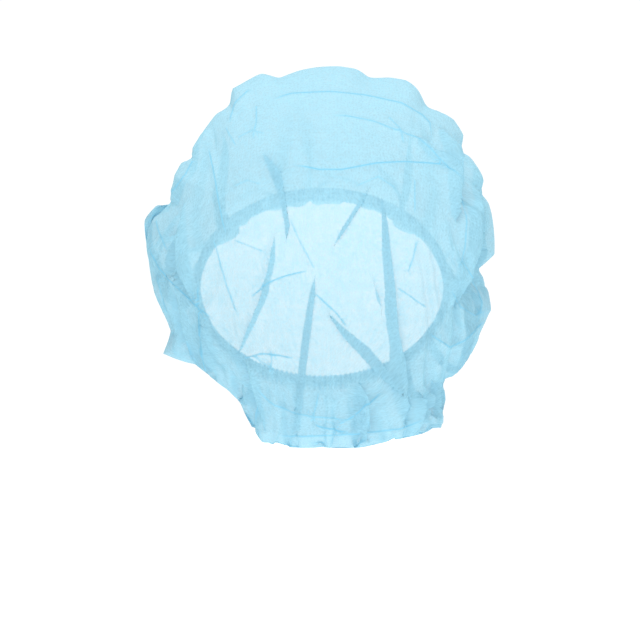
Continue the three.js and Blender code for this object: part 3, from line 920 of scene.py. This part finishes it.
def opal_material():
    """Opal acrylic, cast and lit from below. The eye sees an even white glow without an edge."""
    material, tree = new_material("Opal acrylic, lit from below")
    opal = add_node(tree, "ShaderNodeBsdfPrincipled", [
        ("Base Color", hex_linear("F2F3F3")), ("Roughness", 0.6),
        ("Emission Color", hex_linear("FFFFFF")), ("Emission Strength", FLOOR_GLOW)])
    add_node(tree, "ShaderNodeOutputMaterial", [("Surface", opal)])
    return material


# ---- Operators ----

class HairnetSheet(bpy.types.PropertyGroup):
    colour: bpy.props.FloatVectorProperty(
        name="Cloth", description="Colour of the cloth's fibres", subtype="COLOR", size=4,
        min=0, max=1, default=hex_linear("A3CFDD"))
    cover: bpy.props.FloatProperty(
        name="Cover", description="Share of the cloth that is fibre and not gap", default=0.73,
        min=0, max=1, subtype="FACTOR")
    seed: bpy.props.IntProperty(
        name="Crumple", description="Another number crumples the cloth another way", default=7)


class HAIRNET_OT_cap_sheet(bpy.types.Operator):
    """Add the cap's bag, one gathered sheet of nonwoven cloth"""
    bl_idname = "hairnet.cap_sheet"
    bl_label = "Cap sheet"

    def execute(self, context):
        settings = context.scene.hairnet_sheet
        bag, grid, turn, run = gathered_sheet(settings.seed)
        ridge = np.append(ridges(grid, run), 0)
        pole = grid[0].mean(axis=0, keepdims=True)
        points = np.concatenate([grid.reshape(-1, 3), pole])
        piece = mesh_object("cap_sheet", points, grid_faces(FINE_ROWS, FINE_COLUMNS, closed_pole=True))
        # The sheet's middle is one point more, with a run and a turn of 0.
        run = np.append(run.ravel(), 0)
        turn = np.append(turn.ravel(), 0)
        store_flat_place(piece, (SHEET_CUT / 2 - HEM_FOLD) * run, turn)
        out = np.concatenate([grid_normals(bag).reshape(-1, 3), [HEM.crown]])
        store_steepness(piece, out, even=run < EVEN_MIDDLE)
        store(piece, "ridge", ridge)
        set_points(piece, trim_outline(get_points(piece)))
        pull_tail(piece)
        lay_pleats(piece)
        press_creases(piece)
        add_sheet_uv(piece)
        shade_smooth(piece)
        piece.data.materials.append(nonwoven_material(settings.colour, settings.cover))
        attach(piece, BODY)
        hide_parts("cap_body")
        return {"FINISHED"}


def store_flat_place(piece, out, turn):
    """Stores where each point lies on the flat sheet, by its distance and turn from the middle."""
    store(piece, "flat_x", out * np.cos(turn))
    store(piece, "flat_y", out * np.sin(turn))


def add_sheet_uv(piece):
    """A UV map in metres of the flat sheet."""
    flat = np.stack([read(piece, "flat_x"), read(piece, "flat_y")], axis=1) * MM
    layer = piece.data.uv_layers.new(name="Sheet")
    loops = np.empty(len(piece.data.loops), int)
    piece.data.loops.foreach_get("vertex_index", loops)
    layer.data.foreach_set("uv", flat[loops].ravel())


def crimp_wave(turn, count, seed):
    """An uneven wave round the hem, from -1 to 1, with count gathers."""
    random = np.random.default_rng(seed)
    drift = np.zeros_like(turn)
    for beats in CRIMP_BEATS:
        drift += random.normal(0, CRIMP_DRIFT / beats) * np.sin(beats * turn + random.uniform(0, 6.28))
    beat = SWELL_BEATS * turn + SWELL_DRIFT * np.sin(SWELL_DRIFT_BEATS * turn)
    swell = 1 - SWELL_SHARE + SWELL_SHARE * np.sin(beat)
    return np.sin(count * turn + drift) * swell


def ring_mesh(name, turn, out, up, closed):
    """A strip or tube round the hem from its section at every turn. out and up: rows by columns."""
    grid = HEM.place(turn, HEM.radius(turn) + out, up)
    rows, columns = grid.shape[:2]
    faces = grid_faces(rows, columns)
    if closed:
        faces = [[i % (rows * columns) for i in face] for face in grid_faces(rows + 1, columns)]
    return mesh_object(name, grid.reshape(-1, 3), faces)


class HAIRNET_OT_hem(bpy.types.Operator):
    """Add the hem, the sheet's edge folded over the elastic and gathered"""
    bl_idname = "hairnet.hem"
    bl_label = "Gathered hem"

    def execute(self, context):
        settings = context.scene.hairnet_sheet
        section = np.array(HEM_SECTION)
        lengths = np.hypot(*np.diff(section, axis=0).T)
        stations = np.concatenate([[0], np.cumsum(lengths)]) / lengths.sum()
        share = np.linspace(0, 1, HEM_ROWS)
        out = np.interp(share, stations, section[:, 0])
        up = np.interp(share, stations, section[:, 1])
        turn = np.arange(HEM_COLUMNS) / HEM_COLUMNS * 2 * math.pi
        wave = crimp_wave(turn, HEM_GATHERS, seed=3)[None, :]
        lean = crimp_wave(turn, HEM_GATHERS, seed=5)[None, :]
        full = np.sin(math.pi * smooth(share, *HEM_GATHER_SPAN))
        depth = HEM_GATHER_DEPTH * (HEM_GATHER_LEAST + (1 - HEM_GATHER_LEAST) * full)[:, None]
        turns = turn[None, :] + HEM_LEAN_ASIDE * depth * lean / HEM_GIRTH_RADIUS
        piece = ring_mesh("gathered_hem", turns, out[:, None] + depth * wave,
                          up[:, None] + HEM_LEAN_UP * depth * lean, closed=False)
        plain = HEM.place(turns, HEM.radius(turns) + out[:, None], up[:, None] + 0 * turns)
        store_steepness(piece, grid_normals(plain).reshape(-1, 3))
        store(piece, "ridge", 0 * turns)
        store(piece, "crease_gap", 0 * turns)
        # Painted shadow: the bottoms of the gathers take the darker colour, along with the cover of the
        # cloth pressed there.
        store(piece, "pressed", smooth(-wave, *HEM_PINCH_AND_SHADOW) + 0 * turns)
        store_flat_place(piece, (SHEET_CUT / 2 - HEM_FOLD + share * HEM_FOLD)[:, None], turns)
        add_sheet_uv(piece)
        shade_smooth(piece)
        piece.data.materials.append(nonwoven_material(settings.colour, settings.cover, GATHER_DEPTH))
        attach(piece, BODY)
        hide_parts("hem_casing")
        return {"FINISHED"}


class HAIRNET_OT_elastic(bpy.types.Operator):
    """Add the flat elastic inside the hem"""
    bl_idname = "hairnet.elastic"
    bl_label = "Elastic"

    def execute(self, context):
        around = np.arange(ELASTIC_ROWS) / ELASTIC_ROWS * 2 * math.pi
        side, edge = np.cos(around), np.sin(around)
        out = ELASTIC_THICK / 2 * np.sign(side) * np.abs(side) ** ELASTIC_CORNERS[0]
        up = ELASTIC_TALL / 2 * np.sign(edge) * np.abs(edge) ** ELASTIC_CORNERS[1]
        turn = np.arange(ELASTIC_COLUMNS) / ELASTIC_COLUMNS * 2 * math.pi
        ripple = ELASTIC_RIPPLE * crimp_wave(turn, ELASTIC_WAVES, seed=9)[None, :]
        piece = ring_mesh("flat_elastic", turn[None, :] + 0 * out[:, None],
                          out[:, None] + ripple, up[:, None] + 0 * ripple, closed=True)
        shade_smooth(piece)
        piece.data.materials.append(elastic_material())
        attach(piece, BODY)
        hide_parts("elastic_band")
        return {"FINISHED"}


class HAIRNET_OT_stage(bpy.types.Operator):
    """Add the floor, lights and camera"""
    bl_idname = "hairnet.stage"
    bl_label = "Stage"

    def execute(self, context):
        scene = context.scene
        add_floor(scene)
        add_world(scene)
        for box in SOFTBOXES:
            add_softbox(scene, box)
        add_camera(scene)
        return {"FINISHED"}


def add_floor(scene):
    """A light table, wide enough to fill every view."""
    side, height = FLOOR_HALF_SIDE, FLOOR_HEIGHT
    corners = [(-side, -side, height), (side, -side, height), (side, side, height), (-side, side, height)]
    mesh = bpy.data.meshes.new("floor")
    mesh.from_pydata(corners, [], [(0, 1, 2, 3)])
    mesh.materials.append(opal_material())
    floor = bpy.data.objects.new("floor", mesh)
    scene.collection.objects.link(floor)


def add_world(scene):
    """White studio walls all round that look brighter than the light they give."""
    world = bpy.data.worlds.new("Studio")
    world.use_nodes = True
    tree = world.node_tree
    tree.nodes.clear()
    white = hex_linear("FFFFFF")
    light = add_node(tree, "ShaderNodeBackground", [("Color", white), ("Strength", WALL_LIGHT)])
    wall = add_node(tree, "ShaderNodeBackground", [("Color", white), ("Strength", WALL_SEEN)])
    seen = add_node(tree, "ShaderNodeLightPath").outputs["Is Camera Ray"]
    mix = add_node(tree, "ShaderNodeMixShader", [("Fac", seen), (1, light), (2, wall)])
    add_node(tree, "ShaderNodeOutputWorld", [("Surface", mix)])
    scene.world = world
    scene.view_settings.view_transform = "Standard"


def add_softbox(scene, box):
    light = bpy.data.lights.new(box.name, "AREA")
    light.size = box.width
    light.energy = box.watts
    lamp = bpy.data.objects.new(box.name, light)
    lamp.location = box.place
    aim = Vector(AIM) - lamp.location
    lamp.rotation_euler = aim.to_track_quat("-Z", "Y").to_euler()
    scene.collection.objects.link(lamp)


def add_camera(scene):
    data = bpy.data.cameras.new("camera")
    data.lens = CAMERA_LENS
    data.sensor_width = CAMERA_SENSOR
    camera = bpy.data.objects.new("camera", data)
    camera.location = CAMERA_PLACE
    camera.rotation_euler = [math.radians(angle) for angle in CAMERA_TURN]
    scene.collection.objects.link(camera)
    scene.camera = camera


class HAIRNET_PT_panel(bpy.types.Panel):
    bl_label = "Disposable Hairnet"
    bl_idname = "HAIRNET_PT_panel"
    bl_space_type = "VIEW_3D"
    bl_region_type = "UI"
    bl_category = "Hairnet"

    def draw(self, context):
        settings = context.scene.hairnet_sheet
        self.layout.prop(settings, "colour")
        self.layout.prop(settings, "cover")
        self.layout.prop(settings, "seed")
        for step in STEPS:
            self.layout.operator(step.bl_idname)


STEPS = (HAIRNET_OT_stage, HAIRNET_OT_hem, HAIRNET_OT_cap_sheet, HAIRNET_OT_elastic)
CLASSES = (HairnetSheet, *STEPS, HAIRNET_PT_panel)


def register():
    for item in CLASSES:
        bpy.utils.register_class(item)
    bpy.types.Scene.hairnet_sheet = bpy.props.PointerProperty(type=HairnetSheet)


def unregister():
    del bpy.types.Scene.hairnet_sheet
    for item in reversed(CLASSES):
        bpy.utils.unregister_class(item)


def main():
    register()
    bpy.ops.hairnet.stage()
    bpy.ops.hairnet.hem()
    bpy.ops.hairnet.cap_sheet()
    bpy.ops.hairnet.elastic()


if __name__ == "__main__":
    main()
